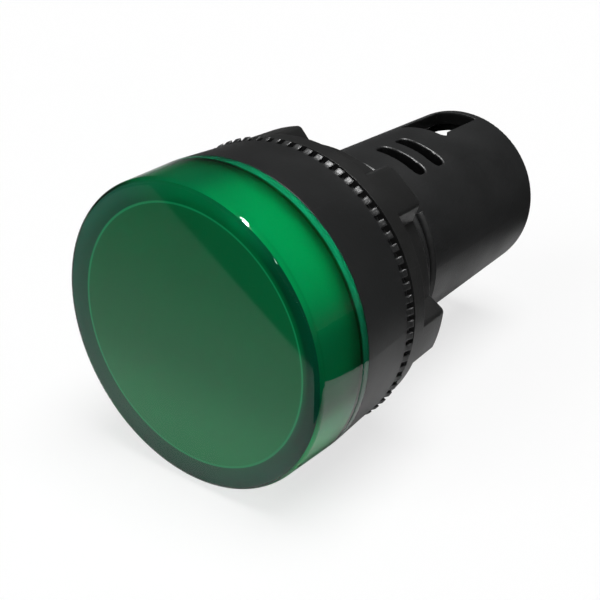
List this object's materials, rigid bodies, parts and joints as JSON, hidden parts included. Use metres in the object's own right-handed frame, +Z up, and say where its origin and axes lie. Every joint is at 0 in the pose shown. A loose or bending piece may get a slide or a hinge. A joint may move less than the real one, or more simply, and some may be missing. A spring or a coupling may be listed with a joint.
{
  "type": "panel pilot light",
  "caption": "Round panel pilot light with a flat-faced green lens, black serrated bezel, lobed mounting nut and vented rear shell with screw terminals.",
  "frame": {"origin": "on the lamp axis in the panel seat, where the gasket meets the panel face", "axes": "+Y along the axis from the panel to the terminals, the lens faces -Y, +Z up"},
  "size_m": [0.0298, 0.0513, 0.0298],
  "materials": {
    "lens": "clear green polycarbonate, polished",
    "housing": "black moulded plastic, satin",
    "nut": "black moulded plastic, satin",
    "gasket": "black rubber, matt",
    "board": "green solder resist",
    "led": "tinted epoxy, polished",
    "film_capacitor": "moulded box, satin",
    "can": "drawn can",
    "rectifier": "black epoxy",
    "resistor": "lacquered ceramic",
    "tinned_pin": "tinned",
    "terminal_block": "black moulded plastic, satin",
    "terminal": "stamped brass",
    "plated_steel": "zinc-plated steel"
  },
  "bodies": {
    "lamp": {"lens": "lens", "housing": "housing", "gasket": "gasket", "led_board": "board", "driver_board": "board", "film_capacitor": "film_capacitor", "smoothing_capacitor": "can", "rectifier": "rectifier", "resistor_1": "resistor", "resistor_2": "resistor", "link_pin_1": "tinned_pin", "link_pin_2": "tinned_pin", "terminal_block": "terminal_block", "terminal_1": "terminal", "terminal_2": "terminal", "led_1": "led", "led_2": "led", "led_3": "led", "led_4": "led", "led_5": "led", "led_6": "led"},
    "nut": {"mounting_nut": "nut"},
    "clamp_1": {"terminal_screw_1": "plated_steel", "clamp_washer_1": "plated_steel"},
    "clamp_2": {"terminal_screw_2": "plated_steel", "clamp_washer_2": "plated_steel"}
  },
  "joints": [
    {"name": "nut_travel", "type": "slide", "parent": "lamp", "child": "nut", "axis": [0, 1, 0], "range_m": [0, 0.038]},
    {"name": "terminal_screw_1_travel", "type": "slide", "parent": "lamp", "child": "clamp_1", "axis": [0, 1, 0], "range_m": [0, 0.0025]},
    {"name": "terminal_screw_2_travel", "type": "slide", "parent": "lamp", "child": "clamp_2", "axis": [0, 1, 0], "range_m": [0, 0.0025]}
  ]
}
